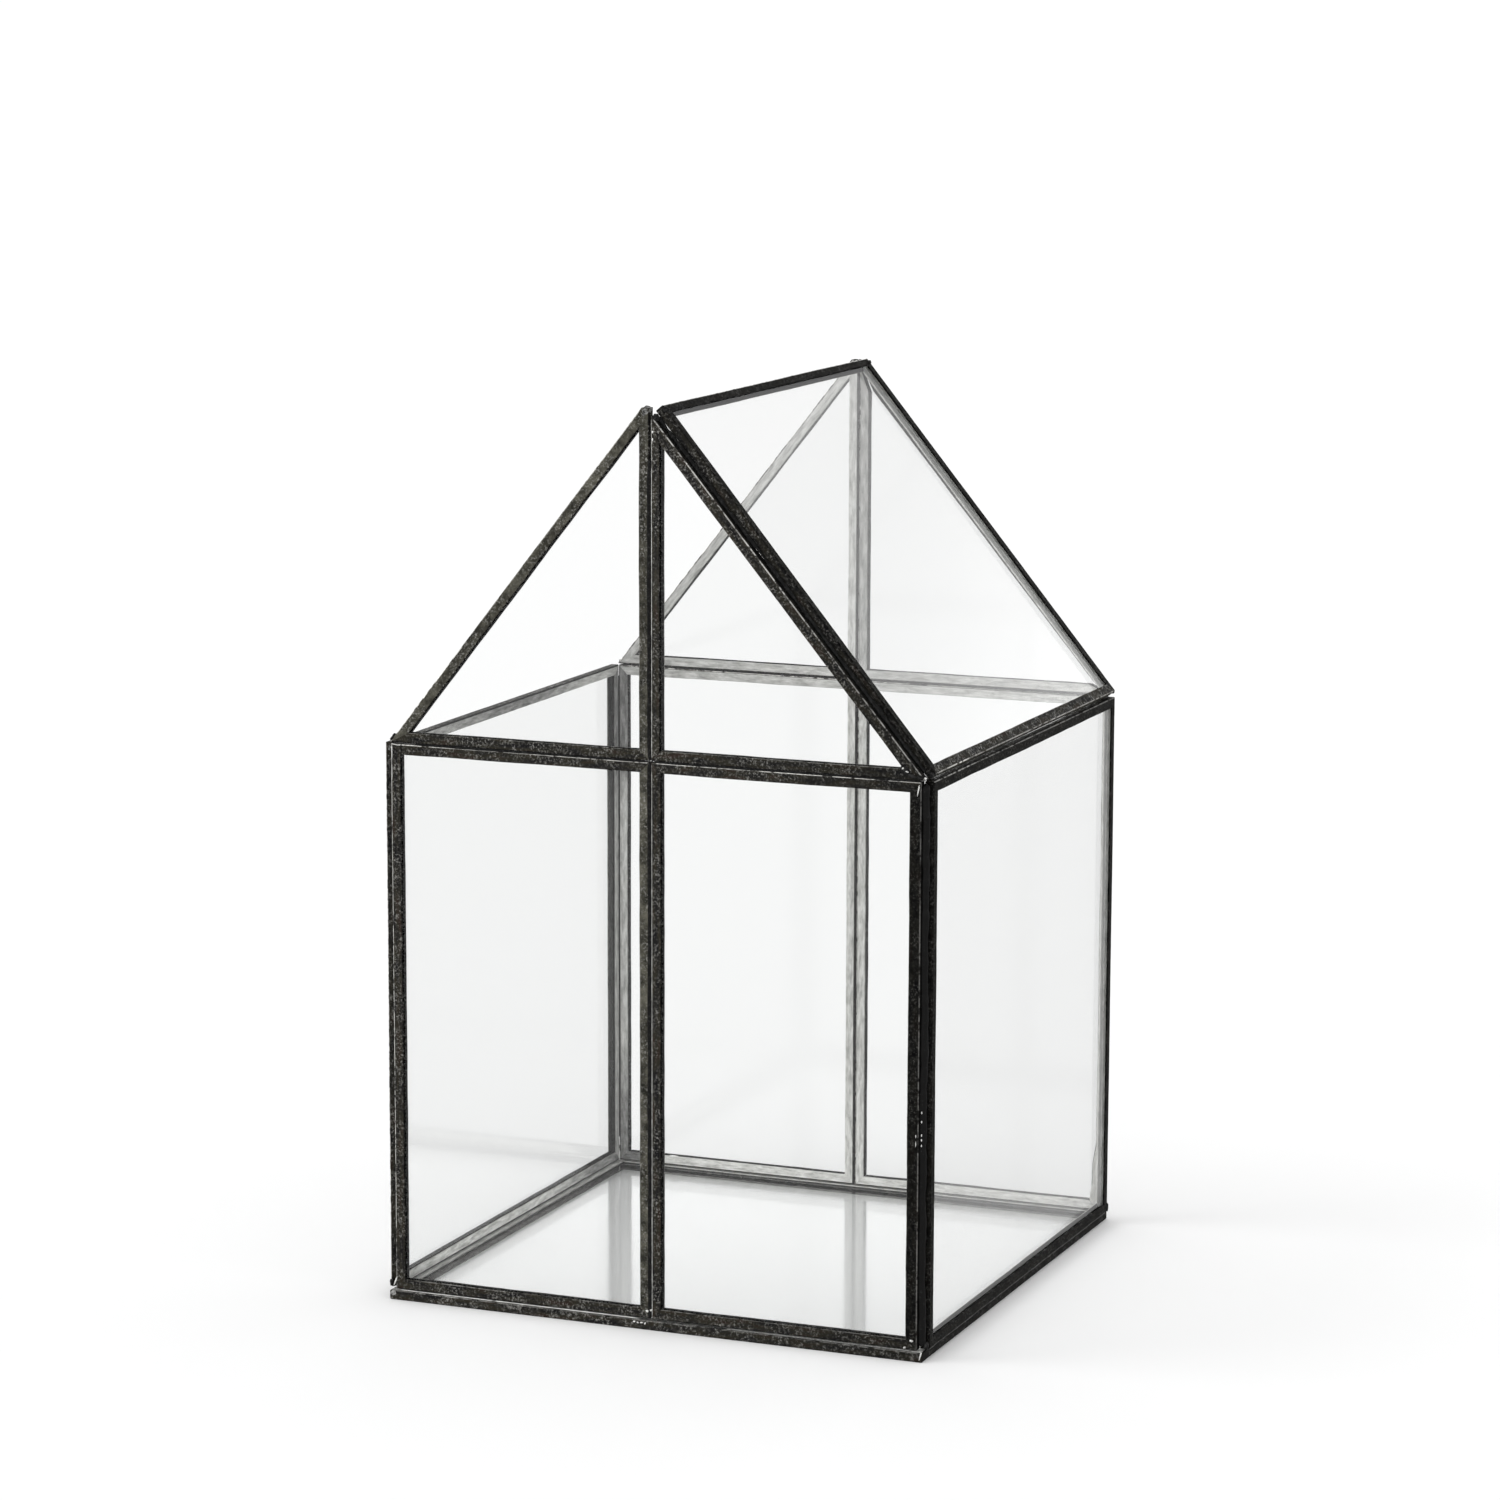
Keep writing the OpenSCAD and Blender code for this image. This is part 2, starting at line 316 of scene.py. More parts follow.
# How much paler (more than 0) or darker (less than 0) than the rest some strips' tinned sides are, as stops,
# added to their tone's painted light
PALER = {
    "back_left_came_bottom": ((0.0, 0.5), (0.80, 0.5), (0.92, -0.7)),
    "back_right_came_bottom": ((0.0, 0.35),),
    "floor_came_back": ((0.0, 0.3), (0.85, 0.3), (0.97, 0.0)),
    "back_left_came_outer": ((0.0, -0.55), (0.08, -0.55), (0.25, 0.25), (0.72, 0.25), (0.85, -0.5)),
    "left_wall_came_back": ((0.0, -0.1), (0.15, -0.1), (0.28, 0.4), (0.8, 0.4), (0.95, 0.1)),
    "left_wall_came_bottom": ((0.0, -0.1), (0.12, -0.1), (0.35, 0.55), (0.80, 0.55), (0.95, 0.3)),
    "left_wall_came_top": ((0.0, 0.45), (0.20, 0.35), (0.45, 0.05), (0.65, 0.1), (0.85, 0.45)),
    "back_right_came_top": ((0.0, -0.15),),
    "back_right_gable_came_base": ((0.0, -0.2),),
    "back_right_gable_came_upright": ((0.0, -0.35),),
}


def wave(place, length, seed):
    """A smooth noise from -1 to 1 that changes over a length."""
    return noise.noise(Vector((place / length, seed * 7.31, seed * 3.17)))


def smooth_step(low, high, value):
    """0 up to low and 1 from high on, with a smooth rise between them."""
    share = min(1.0, max(0.0, (value - low) / (high - low)))
    return share * share * (3 - 2 * share)


def at_stop(stops, share):
    """The value at a share of a strip's length, from its stops."""
    for (low, before), (high, after) in zip(stops, stops[1:]):
        if share <= high:
            return before + (after - before) * (share - low) / (high - low)
    return stops[-1][1]


def looks_of(strip, share, profile_point, point):
    """How worn, tinned, bright and black a strip is at one of its points: painted highlights on folds that
    face the light, painted shade on edges, slots and sides, and painted light in the tin's tone.
    """
    inward, out, kind, wear_and_glint = profile_point
    side = 1 if out > 0 else -1
    facing = strip.facing(kind, side)
    # Folds that face the light are worn with a painted highlight, and folds turned from it get painted shade
    # below
    lit = smooth_step(GLINT_FROM, GLINT_FULLY, facing.dot(LIGHTWARDS))
    lit *= DULLED.get(strip.node, 1.0)
    if side > 0:
        lit = max(lit, RUBBED_GLINTS.get(strip.node, 0.0))
    pale_slot = kind == "slot" and out < PALE_REACH and strip.node in PALE_SLOTS
    tinned = pale_slot or side < 0 and kind in ("face", "lip")
    # Painted shade in the slots, except the pale ones, and on folds and lips turned from the light
    edge_dark = 1.0 if kind == "slot" and not pale_slot else wear_and_glint * (1 - lit)
    # Painted shade on faces turned from the light, on the right-hand side and on some strips; below 0 the
    # patina is greyer
    shade_black = smooth_step(SHADE_FROM, SHADE_FULLY, facing.dot(AWAY))
    blackness = RIGHT_SHADE * smooth_step(RIGHT_FROM, RIGHT_FULLY, point.x)
    blackness += BLACKNESS.get(strip.node, 0.0)
    # The tin's tone is painted light: by its facing, its place across the house, pale slots and nearness to
    # the table
    tone = TONE + TONE_FACING_RIGHT * facing.x + TONE_FACING_BACK * facing.y + TONE_TO_RIGHT * point.x
    tone += TONE_IN_SLOT if pale_slot else 0.0
    tone += at_stop(PALER.get(strip.node, NOTHING), share)
    tone += TONE_NEAR_TABLE * smooth_step(NEAR_TABLE, 0.0, point.z)
    return {
        "wear_and_glint": wear_and_glint * lit * (1.0 if kind == "fold" else LIP_WEAR_AND_GLINT),
        "edge_shade": edge_dark * (TINNED_EDGE_SHADE if tinned else 1.0),
        "inside": 1.0 if tinned else 0.0,
        "shade": shade_black + blackness,
        "tone": tone,
    }


def build_strip(strip, seed):
    """The mesh of one came strip, with the look of each point in its attributes."""
    rings = max(FEWEST_STEPS, round(strip.length / RING_STEP))
    reaches = [strip.reach(inward) for inward, _, _, _ in PROFILE]
    trims = TRIMS.get(strip.node, {})
    vertices = []
    looks = {}
    for ring in range(rings + 1):
        share = ring / rings
        free = math.sin(math.pi * share) ** 0.5
        for profile_point, (first, last), rise in zip(PROFILE, reaches, ROUND):
            inward, out, kind, _ = profile_point
            place = first + (last - first) * share
            sway_in = WAVER * free * wave(place, WAVER_LENGTH, seed)
            sway_out = WAVER * free * wave(place, WAVER_LENGTH, seed + 0.5)
            side = 1 if out > 0 else -1
            if kind == "lip" or (kind == "slot" and inward > CAME_WIDE / 2):
                sway_in += EDGE_WAVER * wave(place, EDGE_WAVER_LENGTH, seed + 0.25 * side)
            trim = at_stop(trims.get(side, NOTHING), share) * MM
            sway_in += trim * max(0.0, inward - FOLD) / (CAME_WIDE - FOLD)
            point = strip.start + place * strip.along
            point += (inward + sway_in) * strip.inward + (out + sway_out) * strip.pane.normal
            if kind != "slot":
                point += DENT * noise.noise(point / DENT_LENGTH) * strip.facing(kind, side)
            point.z = max(point.z, 0.0)
            vertices.append(point)
            look = looks_of(strip, share, profile_point, point)
            # Where the point lies along and round the strip, for marks that are drawn out along it
            look.update(run=place + seed, rise=rise)
            for name, value in look.items():
                looks.setdefault(name, []).append(value)
    count = len(PROFILE)
    faces = []
    for ring in range(rings):
        for i in range(count):
            j = (i + 1) % count
            a, b = ring * count, (ring + 1) * count
            faces.append((a + i, a + j, b + j, b + i))
    faces += [tuple(reversed(range(count))), tuple(range(rings * count, (rings + 1) * count))]
    mesh = bpy.data.meshes.new(strip.node)
    mesh.from_pydata(vertices, [], faces)
    add_looks(mesh, looks)
    mesh.set_sharp_from_angle(angle=SHARP)
    mesh.update()
    return mesh


def add_looks(mesh, looks):
    """Stores a look value for every vertex of a mesh, for its material to read."""
    for name, values in looks.items():
        layer = mesh.attributes.new(name, "FLOAT", "POINT")
        layer.data.foreach_set("value", values)


def build_cames():
    """Rebuilds every came strip of every pane."""
    seed = 1
    for name in PANES:
        for strip in Pane(name).strips:
            piece = bpy.data.objects.new("folded_" + strip.node, build_strip(strip, seed))
            bpy.context.scene.collection.objects.link(piece)
            piece.data.materials.append(PATINA)
            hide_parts(strip.node)
            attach(piece, "root")
            seed += 1


# ---------------------------------------------------------------- solder

# The rows and columns of a lump's skin, and how near its first and last row lie to its tips, as a share
LUMP_ROWS, LUMP_COLUMNS = 9, 14
LUMP_TIP = 0.03
# How strongly a lump swells, and how close together, in its coarse and in its fine bumps
COARSE_SWELL, COARSE_BUMPS = 0.40, 1.4
FINE_SWELL, FINE_BUMPS = 0.22, 3.5
# How far apart a seam's rings are, the fewest steps that it has, and how many points a ring has
SEAM_STEP = 0.9 * MM
SEAM_FEWEST_STEPS = 6
SEAM_SIDES = 10
# How thick a seam's ends are beside the rest, and how far from its ends it thickens
SEAM_TIP = 0.15
SEAM_TAPER = 1.2 * MM
# How strongly a seam swells, and how long its bumps are, in its coarse and in its fine bumps
SEAM_COARSE_SWELL, SEAM_COARSE_LENGTH = 0.45, 3.0 * MM
SEAM_FINE_SWELL, SEAM_FINE_LENGTH = 0.25, 0.9 * MM
# How far a seam wanders sideways, as a share of its width, and how long its waves are
SEAM_WANDER, SEAM_WANDER_LENGTH = 0.25, 8 * MM


class Solder:
    """Gathers lumps and seams of solder into one mesh that replaces a solder node."""

    def __init__(self, node):
        self.node = node
        self.vertices, self.faces, self.shine = [], [], []
        self.chance = random.Random(node)

    def add_rings(self, rings, shine):
        """Joins rings of points, the first and last of them shrunk almost to a point, into a closed skin."""
        first = len(self.vertices)
        count = len(rings[0])
        for ring in rings:
            self.vertices += ring
        self.shine += [shine] * (len(rings) * count)
        for i in range(len(rings) - 1):
            for j in range(count):
                k = (j + 1) % count
                a, b = first + i * count, first + (i + 1) * count
                self.faces.append((a + j, a + k, b + k, b + j))
        last = first + (len(rings) - 1) * count
        self.faces.append(tuple(first + j for j in reversed(range(count))))
        self.faces.append(tuple(last + j for j in range(count)))

    def lump(self, centre, along, out, size, shine):
        """A knobbly drop. Its size is half its length, width and height, in mm."""
        across = out.cross(along).normalized()
        length, width, height = size
        seed = self.chance.uniform(0, 100)
        rings = []
        for row in range(LUMP_ROWS + 1):
            polar = math.pi * min(max(row / LUMP_ROWS, LUMP_TIP), 1 - LUMP_TIP)
            girth = math.sin(polar)
            ring = []
            for column in range(LUMP_COLUMNS):
                turn = 2 * math.pi * column / LUMP_COLUMNS
                way = Vector((math.cos(polar), girth * math.cos(turn), girth * math.sin(turn)))
                swell = 1 + COARSE_SWELL * noise.noise(way * COARSE_BUMPS + X * seed)
                swell += FINE_SWELL * noise.noise(way * FINE_BUMPS + Y * seed)
                place = along * way.x * length + across * way.y * width + out * way.z * height
                point = centre + place * swell * MM
                point.z = max(point.z, 0.0)
                ring.append(point)
            rings.append(ring)
        self.add_rings(rings, shine)

    def seam(self, start, end, out, width, height, shine, swelling=1.0):
        """A run of solder from start to end: half its width and height, in mm."""
        along = (end - start).normalized()
        across = out.cross(along).normalized()
        length = (end - start).length
        seed = self.chance.uniform(0, 100)
        steps = max(SEAM_FEWEST_STEPS, round(length / SEAM_STEP))
        rings = []
        for step in range(steps + 1):
            place = length * step / steps
            closing = min(1.0, SEAM_TIP + min(place, length - place) / SEAM_TAPER)
            bumps = SEAM_COARSE_SWELL * wave(place, SEAM_COARSE_LENGTH, seed)
            bumps += SEAM_FINE_SWELL * wave(place, SEAM_FINE_LENGTH, seed + 1)
            swell = 1 + swelling * bumps
            aside = SEAM_WANDER * width * MM * wave(place, SEAM_WANDER_LENGTH, seed + 2)
            middle = start + along * place + across * aside
            ring = []
            for side in range(SEAM_SIDES):
                turn = 2 * math.pi * side / SEAM_SIDES
                offset = across * math.cos(turn) * width + out * math.sin(turn) * height
                ring.append(middle + offset * swell * closing * MM)
            rings.append(ring)
        self.add_rings(rings, shine)

    def build(self):
        """Makes one piece of everything gathered so far."""
        mesh = bpy.data.meshes.new(self.node)
        mesh.from_pydata(self.vertices, [], self.faces)
        add_looks(mesh, {"shine": self.shine})
        mesh.shade_smooth()
        mesh.update()
        piece = bpy.data.objects.new("run_" + self.node, mesh)
        bpy.context.scene.collection.objects.link(piece)
        mesh.materials.append(SOLDER)
        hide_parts(self.node)
        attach(piece, "root")


# Places that the solder lies at, from the frame
GABLE_FACE = -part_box("front_left_came_bottom")[0].y
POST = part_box("front_right_came_outer")[1].x
NOTCH = POST + 0.9 * MM
WALL_FRONT = -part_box("right_wall_came_front")[0].y
WALL_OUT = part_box("right_wall_came_front")[1].x
WALL_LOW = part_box("front_left_came_bottom")[0].z
WALL_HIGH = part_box("front_left_came_top")[1].z
GABLE_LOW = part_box("front_left_gable_came_base")[0].z
RAKE_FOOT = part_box("front_right_gable_came_rake")[1].x
RAKE_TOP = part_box("front_right_gable_came_rake")[1].z
ROOF_END = -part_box("roof_came_front")[0].y
RIDGE_LOW, RIDGE_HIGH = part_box("roof_came_ridge")
EAVE_LOW, EAVE_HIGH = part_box("roof_came_eave")
BASE_GROOVE = FLOOR_HIGH.z + (WALL_LOW - FLOOR_HIGH.z) / 2
EAVE_GROOVE = WALL_HIGH + (GABLE_LOW - WALL_HIGH) / 2
GROOVE_DEPTH = GABLE_FACE - 0.30 * MM
INNER_FACE = GABLE_FACE - CAME_THICK

# How far the black seam in the middle groove, which is painted shade, and the bright line beside it, a
# painted highlight, lie from the house's middle
GROOVE_ASIDE, LINE_ASIDE = 0.30 * MM, 0.55 * MM
# How far short of the groove's ends the bright line stops
LINE_FOOT_GAP, LINE_TOP_GAP = 1 * MM, 3 * MM
# How far below the apex the middle groove's seam ends
APEX_GAP = 14 * MM
# How far out the level grooves' seams begin. Seen from outside, the left one ends this far short of its post
EAVE_START, EAVE_GAP = 1.5 * MM, 9 * MM
# How far the rake's seam stands off the rake and past the roof panel, and short of the foot and the apex
RAKE_LIFT, RAKE_PAST = 0.8 * MM, 0.6 * MM
RAKE_FOOT_GAP, RAKE_TOP_GAP = 2 * MM, 1 * MM
# How far in front of the right wall the notch's seam and drops lie, and how far short of its ends it stops
NOTCH_PROUD, NOTCH_DROP_PROUD = 1.1 * MM, 2.3 * MM
NOTCH_FOOT_GAP, NOTCH_TOP_GAP = 1 * MM, 0.5 * MM
# The heights of the drops between the walls' frames and the gable's, and how far out from the post they lie
SIDE_HEIGHTS = (WALL_LOW + 4 * MM, WALL_HIGH - 8 * MM, WALL_HIGH - 60 * MM)
SIDE_ASIDE = 0.3 * MM
# The groove in the rear left corner: its place across, and how far short of the wall's ends its seam stops
REAR_CORNER = -(POST + WALL_OUT - CAME_THICK) / 2
REAR_FOOT_GAP, REAR_TOP_GAP = 9 * MM, 4 * MM
# How far the base's seams end short of the posts, stand proud of the gables, and lie inside the walls
BASE_GAP, BASE_PROUD, BASE_SUNK = 1.5 * MM, 0.05 * MM, 0.9 * MM

# Seams of solder: half their width and height in mm, their shine, and how much they swell and shrink
# The black groove, eave and notch seams are painted shade, and the thin bright line is a painted highlight
GROOVE_BEAD = (0.90, 0.55, 0.0, 0.25)
LINE_BEAD = (0.10, 0.10, 0.75, 1.3)
EAVE_BEAD = (0.42, 0.33, 0.0, 0.4)
RAKE_BEAD = (0.75, 0.9, 0.0, 1.0)
NOTCH_BEAD = (1.5, 1.2, -0.1, 0.35)
CORNER_BEAD = (0.35, 0.2, 0.0, 0.3)
WALL_FOOT_BEAD = (0.22, 0.5, 0.12, 1.0)
# The seam under a gable: half its width and height, and its stretches from left to right. A stretch is
# where it starts and ends, as shares of the way from the house's middle to its side, and its shine
# Its bright stretches are a painted highlight along the groove
GABLE_FOOT_SIZE = (0.15, 0.2)
GABLE_FOOT_STRETCHES = ((-1, -0.62, 0.9), (-0.62, -0.05, 1.1), (-0.05, 0.30, 0.2), (0.30, 1, 0.45))

# The front gable's drops in mm: place across, height above the table, how far it stands proud of the
# gable's face, half length, half width, half height, tilt in degrees, and shine
# The bright drops stand for glints: their shine is partly a painted highlight
FRONT_DROPS = (
    (-1.3, 6.5, 0.0, 0.6, 0.45, 0.35, 0, 0.9),
    (0.2, 7.0, 0.0, 0.5, 0.4, 0.35, 40, 1.0),
    (-5.9, 2.5, 0.55, 0.5, 0.3, 0.2, 20, 1.0),
    (-4.6, 2.3, 0.55, 0.45, 0.25, 0.2, -30, 0.9),
    (-3.2, 2.4, 0.55, 0.6, 0.25, 0.2, 10, 1.0),
    (-1.9, 2.2, 0.55, 0.4, 0.3, 0.2, 60, 0.9),
    (-96.7, 6.6, 0.0, 1.8, 0.30, 0.3, 68, 0.9),
    (-97.4, 2.3, 0.5, 1.1, 0.9, 0.35, 30, 0.5),
    (94.6, 7.1, 0.0, 0.6, 0.45, 0.4, 0, 0.9),
    (92.2, 4.5, 0.0, 0.55, 0.4, 0.35, 30, 0.8),
    (98.0, 2.2, 0.5, 1.4, 0.3, 0.3, 75, 0.9),
    (90.6, 199.9, 0.0, 2.0, 1.3, 0.5, -40, 0.05),
    (91.6, 199.6, 0.5, 0.5, 0.3, 0.2, -20, 0.6),
    (90.2, 200.6, 0.5, 0.4, 0.3, 0.2, 30, 0.7),
    (93.4, 198.2, 0.1, 1.7, 0.9, 0.5, -20, 0.1),
    (96.2, 197.9, 0.2, 1.2, 0.9, 0.8, 0, 0.05),
    (98.0, 197.7, 0.2, 0.45, 0.4, 0.4, 0, 1.0),
    (95.5, 193.6, 0.0, 1.7, 0.28, 0.25, 78, 0.9),
    (0.95, 307.1, 0.0, 0.5, 0.35, 0.3, 80, 1.0),
    (0.95, 304.6, 0.0, 0.55, 0.3, 0.3, 90, 1.0),
    (-1.9, 313.7, -1.2, 2.0, 1.4, 1.7, 40, 0.35),
    (1.7, 311.9, -1.2, 1.2, 1.1, 1.6, -50, 0.1),
    (-95.9, 198.6, -0.6, 1.5, 0.6, 0.9, 54, 0.05),
    (-94.6, 196.1, 0.0, 1.6, 0.2, 0.3, -10, 0.9),
    (-96.1, 193.4, 0.0, 2.2, 0.18, 0.25, 90, 0.9),
    (-96.1, 186.5, 0.0, 2.6, 0.15, 0.2, 90, 0.8),
    (-92.6, 194.8, 0.1, 1.4, 0.2, 0.2, 90, 0.0),
    (36.1, 271.0, -2.9, 6.8, 0.2, 0.7, -50.2, 1.1),
    (27.8, 280.9, -2.7, 0.7, 0.25, 0.6, -50.2, 0.9),
    (95.6, 77.2, 0.0, 0.6, 0.14, 0.15, 90, 0.8),
    (95.6, 74.6, 0.0, 0.9, 0.14, 0.15, 90, 0.8),
)
# Bright drops on the right post's notch, which are painted highlights: their heights
NOTCH_DROPS = (85.3, 82.2, 77.6, 76.0, 74.1)
# Drops on the front of the left wall's frame, near its top: place across and height
WALL_DROPS = ((-97.9, 194.3), (-96.6, 192.6))
# Bright drops on the inner side of the back gable, which are painted highlights: place across, height, half
# length and tilt
BACK_GLINT_DROPS = ((-96.5, 6.1, 2.1, 90), (-73.8, 7.5, 2.2, 0))
# Drops in the back gable's upright groove (their heights) and level grooves (their places to each side)
UPRIGHT_DROPS = (8, 90, 188, 203, 260, 300)
LEVEL_DROPS = (20, 88, 93)
# Lumps at the back gable's apex and left eave: place across, height, how deep they lie, size and shine
BACK_LUMPS = (
    (-1.6, 310.5, 1.2, (1.4, 1.0, 1.4), 0.15),
    (1.7, 309.5, 1.2, (1.2, 1.1, 1.4), 0.15),
    (-96.0, 197.5, 1.0, (1.4, 0.8, 1.2), 0.1),
)


def tilted(tilt):
    """The way along a drop that is turned from level by a tilt in degrees."""
    turn = math.radians(tilt)
    return Vector((math.cos(turn), 0, math.sin(turn)))


class GableSolder(Solder):
    """The solder on the front (way -1) or back (way 1) gable."""

    def __init__(self, node, way):
        super().__init__(node)
        self.way = way
        self.out = Y * way

    def face(self, across, height, depth=GABLE_FACE):
        """The point at a place across, a height, and a depth from the middle of the house."""
        return Vector((across, self.way * depth, height))

    def middle_groove(self):
        """The groove between the left and right frames: run full of black solder as painted shade, with a
        bright line along one edge as a painted highlight.
        """
        middle, edge = self.way * GROOVE_ASIDE, -self.way * LINE_ASIDE
        for low, high in ((WALL_LOW, WALL_HIGH), (GABLE_LOW, RAKE_TOP - APEX_GAP)):
            start, end = self.face(middle, low, GROOVE_DEPTH), self.face(middle, high, GROOVE_DEPTH)
            self.seam(start, end, self.out, *GROOVE_BEAD)
            start, end = self.face(edge, low + LINE_FOOT_GAP), self.face(edge, high - LINE_TOP_GAP)
            self.seam(start, end, self.out, *LINE_BEAD)

    def level_grooves(self):
        """The grooves at the eaves' height, run with black solder as painted shade, and the notches where
        the walls' frames meet the gable's.
        """
        for side in (-1, 1):
            reach = POST - EAVE_GAP if side * self.way > 0 else POST
            start = self.face(side * EAVE_START, EAVE_GROOVE, GROOVE_DEPTH)
            end = self.face(side * reach, EAVE_GROOVE, GROOVE_DEPTH)
            self.seam(start, end, self.out, *EAVE_BEAD)
            for height in SIDE_HEIGHTS:
                place = self.face(side * (POST + SIDE_ASIDE), height, WALL_FRONT)
                length = self.chance.uniform(1.5, 2.6)
                self.lump(place, Z, self.out, size=(length, 0.6, 0.7), shine=0.1)

    def rake(self):
        """The seam along the right rake, against the roof panel."""
        depth = ROOF_END + RAKE_PAST
        foot, top = self.face(RAKE_FOOT, GABLE_LOW, depth), self.face(0, RAKE_TOP, depth)
        up_rake = (top - foot).normalized()
        lift = up_rake.cross(Y)
        lift = lift if lift.z > 0 else -lift
        foot = foot + RAKE_LIFT * lift + RAKE_FOOT_GAP * up_rake
        top = top + RAKE_LIFT * lift - RAKE_TOP_GAP * up_rake
        self.seam(foot, top, lift, *RAKE_BEAD)

    def notch(self):
        """The right post's notch, run full and black, as painted shade."""
        depth = WALL_FRONT + NOTCH_PROUD
        low, high = WALL_LOW + NOTCH_FOOT_GAP, WALL_HIGH - NOTCH_TOP_GAP
        self.seam(self.face(NOTCH, low, depth), self.face(NOTCH, high, depth), self.out, *NOTCH_BEAD)

    def front_drops(self):
        """The drops that are seen on the front gable."""
        for across, height, proud, length, width, thick, tilt, shine in FRONT_DROPS:
            place = self.face(across * MM, height * MM, GABLE_FACE + proud * MM)
            self.lump(place, tilted(tilt), self.out, (length, width, thick), shine)
        for height in NOTCH_DROPS:
            drop = self.face(NOTCH, height * MM, WALL_FRONT + NOTCH_DROP_PROUD)
            self.lump(drop, Z, self.out, size=(0.45, 0.22, 0.3), shine=1.0)
        for across, height in WALL_DROPS:
            drop = self.face(across * MM, height * MM, WALL_FRONT)
            self.lump(drop, Z, self.out, size=(1.2, 1.0, 0.5), shine=0.35)

    def back_drops(self):
        """The drops on the back gable, and the groove in its left corner, seen from inside."""
        for height in UPRIGHT_DROPS:
            drop = self.face(self.chance.uniform(-0.6, 0.6) * MM, height * MM)
            length = self.chance.uniform(1.0, 2.4)
            self.lump(drop, Z, self.out, size=(length, 0.7, 0.4), shine=0.3)
        for side in (-1, 1):
            for across in LEVEL_DROPS:
                drop = self.face(side * across * MM, GABLE_LOW - 0.3 * MM)
                length = self.chance.uniform(0.8, 2.0)
                self.lump(drop, X, self.out, size=(length, 0.6, 0.4), shine=0.3)
        low = self.face(REAR_CORNER, WALL_LOW + REAR_FOOT_GAP, INNER_FACE)
        high = self.face(REAR_CORNER, WALL_HIGH - REAR_TOP_GAP, INNER_FACE)
        self.seam(low, high, -self.out, *CORNER_BEAD)
        for across, height, length, tilt in BACK_GLINT_DROPS:
            drop = self.face(across * MM, height * MM, INNER_FACE)
            self.lump(drop, tilted(tilt), -self.out, size=(length, 0.35, 0.8), shine=1.3)
        for across, height, depth, size, shine in BACK_LUMPS:
            place = self.face(across * MM, height * MM, GABLE_FACE - depth * MM)
            self.lump(place, X, self.out, size, shine)


def gable_solder(node, way):
    """Rebuilds the solder on the front (way -1) or back (way 1) gable."""
    solder = GableSolder(node, way)
    solder.middle_groove()
    solder.level_grooves()
    solder.rake()
    solder.notch()
    if way < 0:
        solder.front_drops()
    else:
        solder.back_drops()
    solder.build()


def base_solder():
    """The solder between the floor's frame and the panes that stand on it."""
    solder = Solder("solder_base")
    for way in (-1, 1):
        reach = POST - BASE_GAP
        depth = GABLE_FACE + BASE_PROUD
        for start, end, shine in GABLE_FOOT_STRETCHES:
            ends = [Vector((share * reach, way * depth, BASE_GROOVE)) for share in (start, end)]
            solder.seam(*ends, Y * way, *GABLE_FOOT_SIZE, shine)
        depth = WALL_OUT - BASE_SUNK
        ends = [Vector((way * depth, end, BASE_GROOVE)) for end in (-WALL_FRONT, WALL_FRONT)]
        solder.seam(*ends, X * way, *WALL_FOOT_BEAD)
        # Drops at the corners
        for side in (-1, 1):
            stand = 0.65 * MM if side * way > 0 and way > 0 else 0.9 * MM
            corner = Vector((side * (WALL_OUT - stand), way * (WALL_FRONT + 0.9 * MM), WALL_LOW + 1.4 * MM))
            solder.lump(corner, Z, (X * side + Y * way).normalized(), size=(1.5, 0.9, 0.8), shine=0.05)
    solder.build()


def roof_solder():
    """The solder at the ends of the roof panel's ridge and under its lower corners."""
    solder = Solder("solder_roof")
    ridge_middle = (RIDGE_LOW + RIDGE_HIGH) / 2
    for way in (-1, 1):
        end = Vector((ridge_middle.x + 0.7 * MM, way * (ROOF_END - 0.6 * MM), RIDGE_HIGH.z - 1.5 * MM))
        solder.lump(end, X, Z, size=(1.3, 1.0, 1.1), shine=0.05)
        seat = Vector((EAVE_LOW.x + 1.6 * MM, way * (ROOF_END - 3 * MM), WALL_HIGH + 0.3 * MM))
        solder.lump(seat, Y, X, size=(3.0, 0.6, 1.0), shine=0.1)
        corner = Vector((EAVE_HIGH.x - 1.6 * MM, way * (ROOF_END + 0.1 * MM), EAVE_LOW.z + 1.6 * MM))
        solder.lump(corner, X, Y * way, size=(1.3, 0.9, 0.5), shine=0.1)
    solder.build()


# ---------------------------------------------------------------- materials

GLASS_IOR = 1.45
GLASS_COLOUR = (0.983, 0.985, 0.984, 1)
MIRROR_COLOUR = (0.9, 0.9, 0.9, 1)
MIRROR_ROUGHNESS = 0.09

# The colours of the came, as stops: a level of the noise, and the colour there
DARK = (
    (0.36, (0.010, 0.010, 0.011)),
    (0.47, (0.022, 0.021, 0.019)),
    (0.55, (0.030, 0.028, 0.021)),
    (0.64, (0.032, 0.023, 0.019)),
)
# Black, for the painted shade on edges, slots and sides turned from the light
BLACK = ((0.40, (0.0015, 0.0015, 0.0018)), (0.65, (0.010, 0.010, 0.009)))
GREY = ((0.36, (0.022, 0.022, 0.018)), (0.50, (0.062, 0.060, 0.048)), (0.64, (0.13, 0.125, 0.10)))
SILVER = ((0.35, (0.11, 0.108, 0.10)), (0.66, (0.50, 0.49, 0.46)))
# Polished metal, which on folds that face the light is also a painted highlight
POLISHED = ((0.30, (0.55, 0.54, 0.51)), (0.60, (0.95, 0.94, 0.90)))
